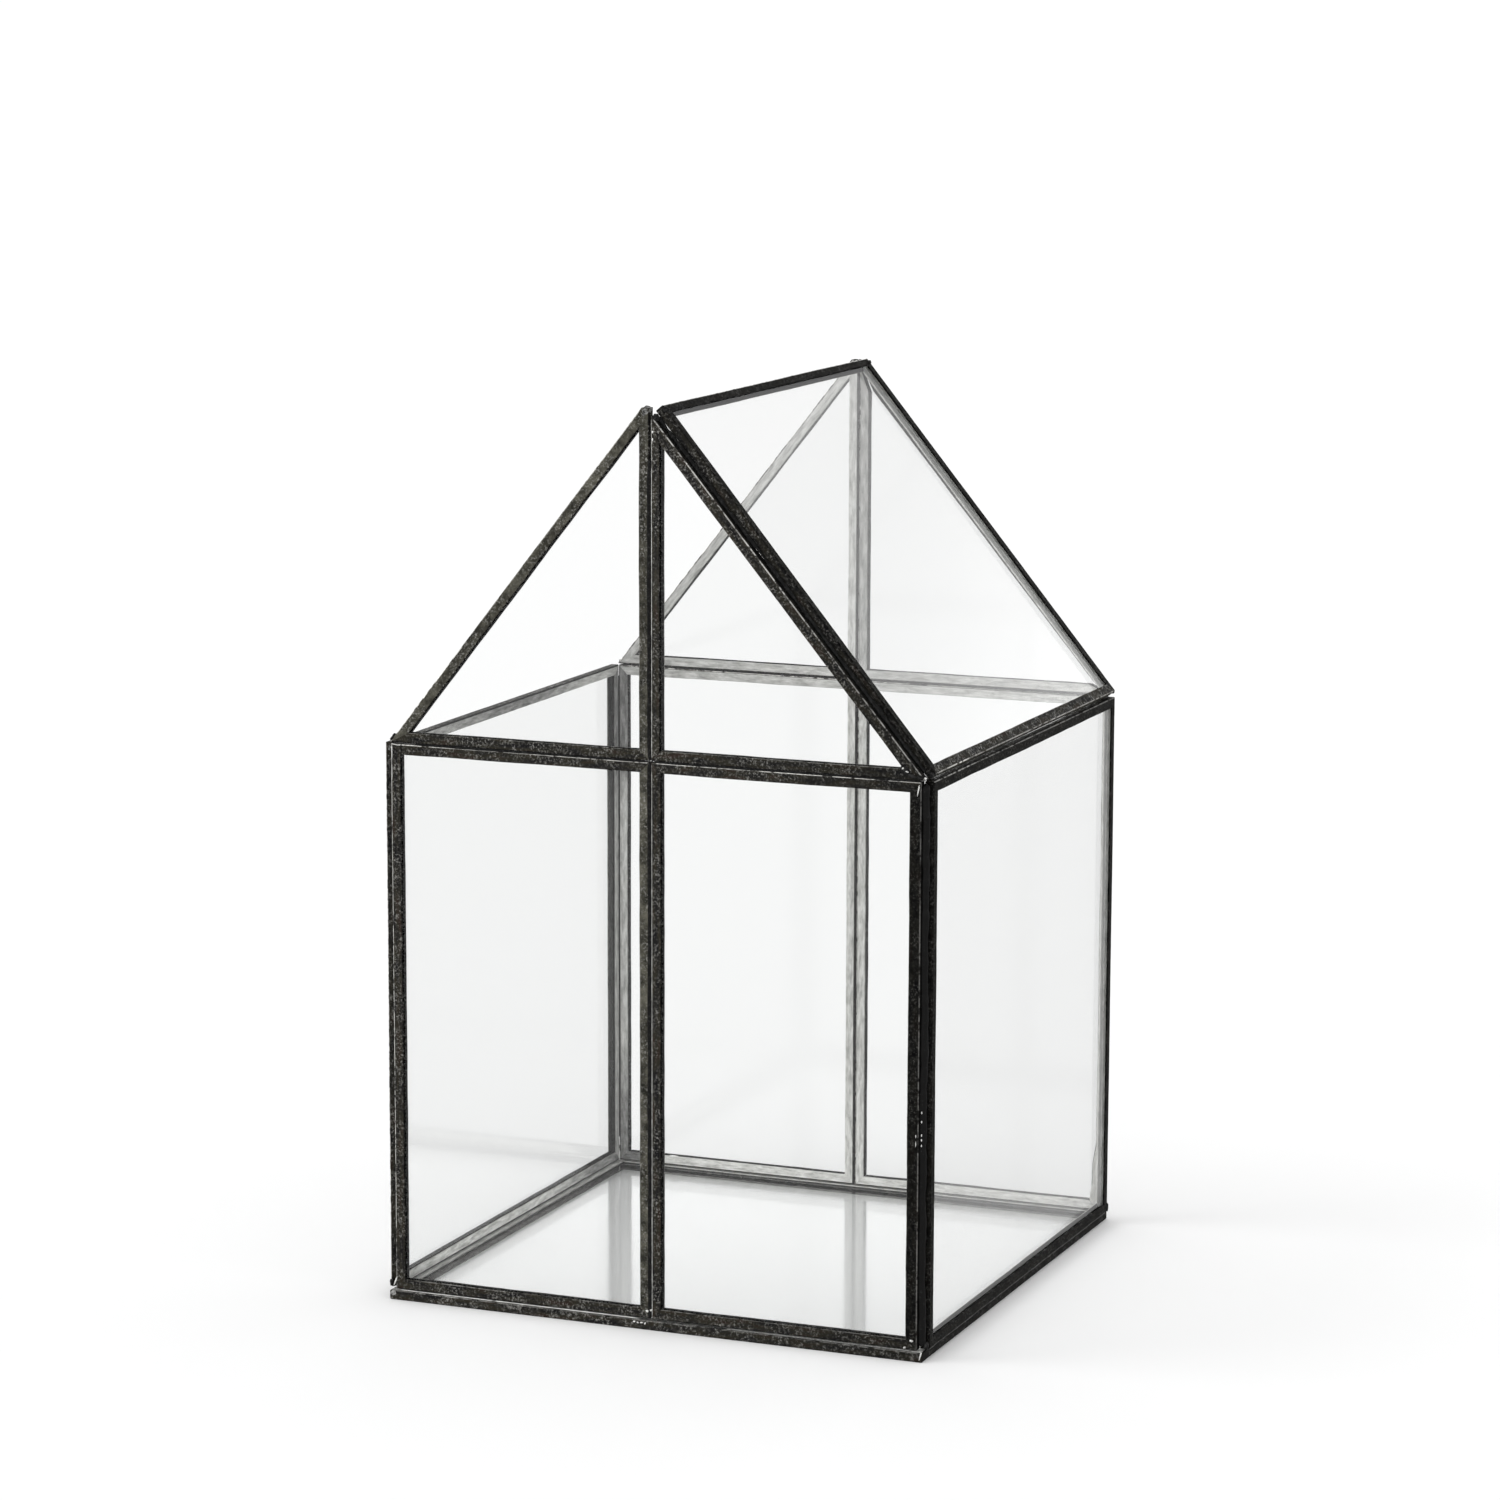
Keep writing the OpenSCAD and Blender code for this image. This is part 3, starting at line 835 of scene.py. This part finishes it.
# Tin, from TIN_DARK to TIN_PALE by its tone, which is painted light
TIN_DARK = ((0.32, (0.08, 0.08, 0.078)), (0.50, (0.20, 0.20, 0.195)), (0.66, (0.36, 0.36, 0.35)))
TIN_PALE = ((0.32, (0.42, 0.42, 0.40)), (0.48, (0.72, 0.72, 0.69)), (0.62, (0.95, 0.95, 0.92)))
# The tones of the solder, from black to bright, as stops: a level, and the tone there
SOLDER_TONES = ((0.0, 0.004), (0.25, 0.035), (0.95, 0.85))
# How blue the solder is beside its red and green
SOLDER_BLUE = 0.97
# How much its noise adds to its level, and how much is taken off its shine for that
SOLDER_NOISE, SOLDER_MIDDLE = 0.9, 0.45
SOLDER_ROUGHNESS, SOLDER_SPECULAR = 0.35, 0.1
# How much a place along a strip counts beside one round it: below 1, marks are long and thin
DRAWN_OUT = 0.22
# How much of the black painted shade reaches a shaded side, how much of the specks it loses, and how strong
# the specks are
SIDE_SHADE_SHARE, SPECKS_LOST, SPECKS_SHARE = 0.85, 0.8, 0.6
# How much the painted edge shade covers the tinned metal, and how much less metallic that is than the
# outside
EDGE_SHADE_SHARE, TIN_DULLNESS = 0.85, 0.8
# How rough the came is at least, how much its noise adds, and how metallic it is at least
ROUGH_LEAST, ROUGH_NOISE, METAL_LEAST = 0.25, 0.35, 0.12
BUMP_STRENGTH, BUMP_DEPTH = 0.6, 0.10 * MM


class Graph:
    """A new material's shader nodes, and short ways to add and link them."""

    def __init__(self, name):
        self.material = bpy.data.materials.new(name)
        self.material.use_nodes = True
        self.nodes = self.material.node_tree.nodes
        self.nodes.clear()
        self.out = self.add("ShaderNodeOutputMaterial").inputs[0]

    def add(self, kind, **settings):
        """Adds a node with its settings."""
        node = self.nodes.new(kind)
        for name, value in settings.items():
            setattr(node, name, value)
        return node

    def feed(self, socket, value):
        """Gives a socket a fixed value, or links another node's output to it."""
        if isinstance(value, bpy.types.NodeSocket):
            self.material.node_tree.links.new(value, socket)
        else:
            socket.default_value = value

    def attribute(self, name):
        """A look value that the mesh holds."""
        return self.add("ShaderNodeAttribute", attribute_name=name).outputs["Fac"]

    def cloud(self, scale, detail, rough=0.6, where=None):
        """A noise over the object, or over other coordinates."""
        node = self.add("ShaderNodeTexNoise")
        for name, value in (("Scale", scale), ("Detail", detail), ("Roughness", rough)):
            node.inputs[name].default_value = value
        self.feed(node.inputs["Vector"], where or self.add("ShaderNodeTexCoord").outputs["Object"])
        return node.outputs["Fac"]

    def ramp(self, value, stops):
        """A colour for each value, from its stops."""
        node = self.add("ShaderNodeValToRGB")
        self.feed(node.inputs[0], value)
        elements = node.color_ramp.elements
        while len(elements) < len(stops):
            elements.new(0.5)
        for element, (position, colour) in zip(elements, stops):
            element.position = position
            element.color = (*colour, 1)
        return node.outputs["Color"]

    def mask(self, value, low, high, least=0.0):
        """The least share up to the low value, and 1 from the high value on."""
        return self.ramp(value, ((low, (least,) * 3), (high, (1, 1, 1))))

    def blend(self, share, a, b):
        """Colour a where the share is 0, and colour b where it is 1."""
        node = self.add("ShaderNodeMix", data_type="RGBA")
        for name, value in (("Factor", share), ("A", a), ("B", b)):
            self.feed(node.inputs[name], value)
        return node.outputs["Result"]

    def mixed(self, share, a, b):
        """Shader a where the share is 0, and shader b where it is 1."""
        node = self.add("ShaderNodeMixShader")
        for socket, value in zip(node.inputs, (share, a, b)):
            self.feed(socket, value)
        return node.outputs[0]

    def maths(self, operation, *values, clamp=True):
        """What an operation makes of some values, kept from 0 to 1 if clamped."""
        node = self.add("ShaderNodeMath", operation=operation, use_clamp=clamp)
        for socket, value in zip(node.inputs, values):
            self.feed(socket, value)
        return node.outputs[0]

    def times(self, a, b):
        """The product of two values, kept from 0 to 1."""
        return self.maths("MULTIPLY", a, b)

    def without(self, value, part):
        """1 less a part of a value."""
        return self.maths("SUBTRACT", 1.0, self.times(value, part))

    def bumps(self, height, strength, distance):
        """The normal of a surface that a height raises."""
        node = self.add("ShaderNodeBump")
        for name, value in (("Strength", strength), ("Distance", distance), ("Height", height)):
            self.feed(node.inputs[name], value)
        return node.outputs[0]


def patina_material():
    """Blackened came: mottled charcoal, brown and olive outside, tinned grey inside, bright where worn, with
    painted highlights on folds that face the light and painted shade on edges, slots and sides turned from
    it.
    """
    graph = Graph("patina")
    shade, edge_shade, inside = (graph.attribute(name) for name in ("shade", "edge_shade", "inside"))
    # Painted shade where the shade is above 0, and a greyer patina where it is below 0
    shaded_side = graph.maths("MAXIMUM", shade, 0.0)
    grey_side = graph.times(shade, -1.0)

    # A place along and round the strip, for marks that are drawn out along it
    streak = graph.add("ShaderNodeCombineXYZ")
    run = graph.maths("MULTIPLY", graph.attribute("run"), DRAWN_OUT, clamp=False)
    graph.feed(streak.inputs["X"], run)
    graph.feed(streak.inputs["Y"], graph.attribute("rise"))
    streak = streak.outputs[0]

    # The blackened metal, greyer or blacker by its side: the black is painted shade on edges, slots and
    # sides turned from the light
    dark = graph.ramp(graph.cloud(scale=380, detail=6, rough=0.65, where=streak), DARK)
    dark = graph.blend(grey_side, dark, graph.ramp(graph.cloud(scale=200, detail=5, rough=0.7), GREY))
    shade_black = graph.ramp(graph.cloud(scale=500, detail=4), BLACK)
    painted_black = graph.maths("MAXIMUM", edge_shade, graph.times(shaded_side, SIDE_SHADE_SHARE))
    outside = graph.blend(painted_black, dark, shade_black)

    # Silver specks that come in patches
    patches = graph.mask(graph.cloud(scale=150, detail=3), low=0.40, high=0.58, least=0.20)
    specks = graph.mask(graph.cloud(scale=1150, detail=4, rough=0.75), low=0.51, high=0.60)
    specks = graph.times(graph.times(specks, patches), graph.without(shaded_side, SPECKS_LOST))
    silver = graph.ramp(graph.cloud(scale=1700, detail=2), SILVER)
    outside = graph.blend(graph.times(specks, SPECKS_SHARE), outside, silver)

    # Polished metal where it is worn, in longer and shorter stretches. On folds that face the light it is
    # also a painted highlight
    wear_and_glint_patches = graph.mask(graph.cloud(scale=320, detail=4), low=0.41, high=0.51, least=0.05)
    stretches = graph.mask(graph.cloud(scale=16, detail=1), low=0.40, high=0.56, least=0.35)
    worn_and_glinting = graph.times(graph.attribute("wear_and_glint"), graph.times(wear_and_glint_patches, stretches))
    polished = graph.ramp(graph.cloud(scale=900, detail=2), POLISHED)
    outside = graph.blend(worn_and_glinting, outside, polished)

    # The tinned metal inside, as bright as its tone's painted light, with the painted edge shade on it
    tin_marks = graph.cloud(scale=700, detail=6, rough=0.7, where=streak)
    tone = graph.attribute("tone")
    tinned = graph.blend(tone, graph.ramp(tin_marks, TIN_DARK), graph.ramp(tin_marks, TIN_PALE))
    tinned = graph.blend(graph.times(edge_shade, EDGE_SHADE_SHARE), tinned, dark)

    rough = graph.times(graph.cloud(scale=500, detail=3), ROUGH_NOISE)
    metal = graph.maths("ADD", graph.maths("MAXIMUM", worn_and_glinting, specks), METAL_LEAST)
    bumps = graph.cloud(scale=800, detail=4)
    looks = {
        "Base Color": graph.blend(inside, outside, tinned),
        "Roughness": graph.maths("ADD", rough, ROUGH_LEAST),
        "Metallic": graph.times(metal, graph.without(inside, TIN_DULLNESS)),
        "Specular IOR Level": 0.0,
        "Normal": graph.bumps(bumps, BUMP_STRENGTH, BUMP_DEPTH),
    }
    shader = graph.add("ShaderNodeBsdfPrincipled")
    for name, value in looks.items():
        graph.feed(shader.inputs[name], value)
    graph.feed(graph.out, shader.outputs[0])
    return graph.material


def glass_material():
    """Clear float glass with a faint grey cast: it mirrors by Fresnel and lets the rest through."""
    graph = Graph("float_glass")
    # The node turns its IOR over on the far side of a pane, so the far side is given it turned over
    turned = graph.add("ShaderNodeMix")
    turned.inputs["A"].default_value = GLASS_IOR
    turned.inputs["B"].default_value = 1 / GLASS_IOR
    graph.feed(turned.inputs["Factor"], graph.add("ShaderNodeNewGeometry").outputs["Backfacing"])
    fresnel = graph.add("ShaderNodeFresnel")
    graph.feed(fresnel.inputs["IOR"], turned.outputs["Result"])
    clear = graph.add("ShaderNodeBsdfTransparent")
    clear.inputs["Color"].default_value = GLASS_COLOUR
    mirror = graph.add("ShaderNodeBsdfAnisotropic")
    mirror.inputs["Color"].default_value = MIRROR_COLOUR
    mirror.inputs["Roughness"].default_value = MIRROR_ROUGHNESS
    graph.feed(graph.out, graph.mixed(fresnel.outputs[0], clear.outputs[0], mirror.outputs[0]))
    return graph.material


def solder_material():
    """Solder: black and oxidised, or as bright as where it was last touched by the iron. Its black seams in
    grooves are also painted shade, and its bright drops and lines painted highlights.
    """
    graph = Graph("solder")
    shine = graph.maths("SUBTRACT", graph.attribute("shine"), SOLDER_MIDDLE, clamp=False)
    level = graph.maths("MULTIPLY_ADD", graph.cloud(scale=1100, detail=4, rough=0.5), SOLDER_NOISE, shine)
    stops = [(position, (tone, tone, tone * SOLDER_BLUE)) for position, tone in SOLDER_TONES]
    shader = graph.add("ShaderNodeBsdfPrincipled")
    looks = {
        "Base Color": graph.ramp(level, stops),
        "Metallic": level,
        "Roughness": SOLDER_ROUGHNESS,
        "Specular IOR Level": SOLDER_SPECULAR,
    }
    for name, value in looks.items():
        graph.feed(shader.inputs[name], value)
    graph.feed(graph.out, shader.outputs[0])
    return graph.material


PATINA = patina_material()
GLASS = glass_material()
SOLDER = solder_material()


def dress(node, material):
    """Gives a node of the frame a material."""
    mesh = NODES[node].data
    if not mesh.materials:
        mesh.materials.append(material)
    for slot in NODES[node].material_slots:
        slot.material = material


# ---------------------------------------------------------------- camera, floor and light

CAMERA_AZIMUTH = math.radians(22.23)
CAMERA_ELEVATION = math.radians(9.74)
CAMERA_ROLL = math.radians(0.15)
CAMERA_DISTANCE = 1.7129
CAMERA_TARGET = Vector((-0.0041, 0.0, 0.1848))
CAMERA_LENS = 116.4
SENSOR_WIDTH = 36
CLIP_END = 200

# Half the width of the studio's floor
FLOOR_HALF = 60.0
FLOOR_COLOUR = (0.95, 0.95, 0.95, 1)
# How bright the studio's floor is in reflections, where white is 1
REFLECTED = 0.85
# In reflections the sky is brighter near the horizon: the heights between which that fades, and the
# brightness below and above them
SKY_FADE = (("From Min", 0.235), ("From Max", 0.325), ("To Min", 1.95), ("To Max", 0.86))
SUN_ENERGY = 0.40
SUN_WIDTH = math.radians(25)
SUNWARDS = Vector((-0.75, -0.35, 1.0))


def make_camera():
    """The photo's camera."""
    data = bpy.data.cameras.new("camera")
    data.sensor_width = SENSOR_WIDTH
    data.lens = CAMERA_LENS
    data.clip_end = CLIP_END
    camera = bpy.data.objects.new("camera", data)
    bpy.context.scene.collection.objects.link(camera)
    right = Vector((math.cos(CAMERA_AZIMUTH), math.sin(CAMERA_AZIMUTH), 0))
    back = math.cos(CAMERA_ELEVATION) * right.cross(Z) + math.sin(CAMERA_ELEVATION) * Z
    up = back.cross(right)
    turn = Matrix((right, up, back)).transposed().to_4x4()
    turn = turn @ Matrix.Rotation(CAMERA_ROLL, 4, "Z")
    camera.matrix_world = Matrix.Translation(CAMERA_TARGET + back * CAMERA_DISTANCE) @ turn
    bpy.context.scene.camera = camera


def make_floor():
    """The studio's white floor, which glows in reflections."""
    corners = [(x * FLOOR_HALF, y * FLOOR_HALF, 0) for x, y in ((-1, -1), (1, -1), (1, 1), (-1, 1))]
    mesh = bpy.data.meshes.new("studio_floor")
    mesh.from_pydata(corners, [], [(0, 1, 2, 3)])
    floor = bpy.data.objects.new("studio_floor", mesh)
    bpy.context.scene.collection.objects.link(floor)
    graph = Graph("studio_white")
    white = graph.add("ShaderNodeBsdfDiffuse")
    white.inputs["Color"].default_value = FLOOR_COLOUR
    glow = graph.add("ShaderNodeEmission")
    glow.inputs["Strength"].default_value = REFLECTED
    glossy = graph.add("ShaderNodeLightPath").outputs["Is Glossy Ray"]
    graph.feed(graph.out, graph.mixed(glossy, white.outputs[0], glow.outputs[0]))
    mesh.materials.append(graph.material)


def make_light():
    """A white sky all round, and a soft sun from the left."""
    scene = bpy.context.scene
    scene.view_settings.view_transform = "Standard"
    world = bpy.data.worlds.new("studio")
    scene.world = world
    world.use_nodes = True
    nodes, links = world.node_tree.nodes, world.node_tree.links
    back = nodes["Background"]
    back.inputs["Color"].default_value = (1, 1, 1, 1)
    way = nodes.new("ShaderNodeSeparateXYZ")
    links.new(nodes.new("ShaderNodeTexCoord").outputs["Generated"], way.inputs[0])
    sky = nodes.new("ShaderNodeMapRange")
    sky.interpolation_type = "SMOOTHSTEP"
    links.new(way.outputs["Z"], sky.inputs["Value"])
    for name, value in SKY_FADE:
        sky.inputs[name].default_value = value
    level = nodes.new("ShaderNodeMix")
    level.inputs["A"].default_value = 1.0
    links.new(sky.outputs["Result"], level.inputs["B"])
    links.new(nodes.new("ShaderNodeLightPath").outputs["Is Glossy Ray"], level.inputs["Factor"])
    links.new(level.outputs["Result"], back.inputs["Strength"])
    sun = bpy.data.lights.new("key", "SUN")
    sun.energy = SUN_ENERGY
    sun.angle = SUN_WIDTH
    lamp = bpy.data.objects.new("key", sun)
    scene.collection.objects.link(lamp)
    lamp.rotation_euler = SUNWARDS.to_track_quat("Z", "Y").to_euler()


make_camera()
make_floor()
make_light()
build_cames()
gable_solder("solder_front", -1)
gable_solder("solder_back", 1)
base_solder()
roof_solder()
for node in NODES:
    if node.endswith("_glass"):
        dress(node, GLASS)
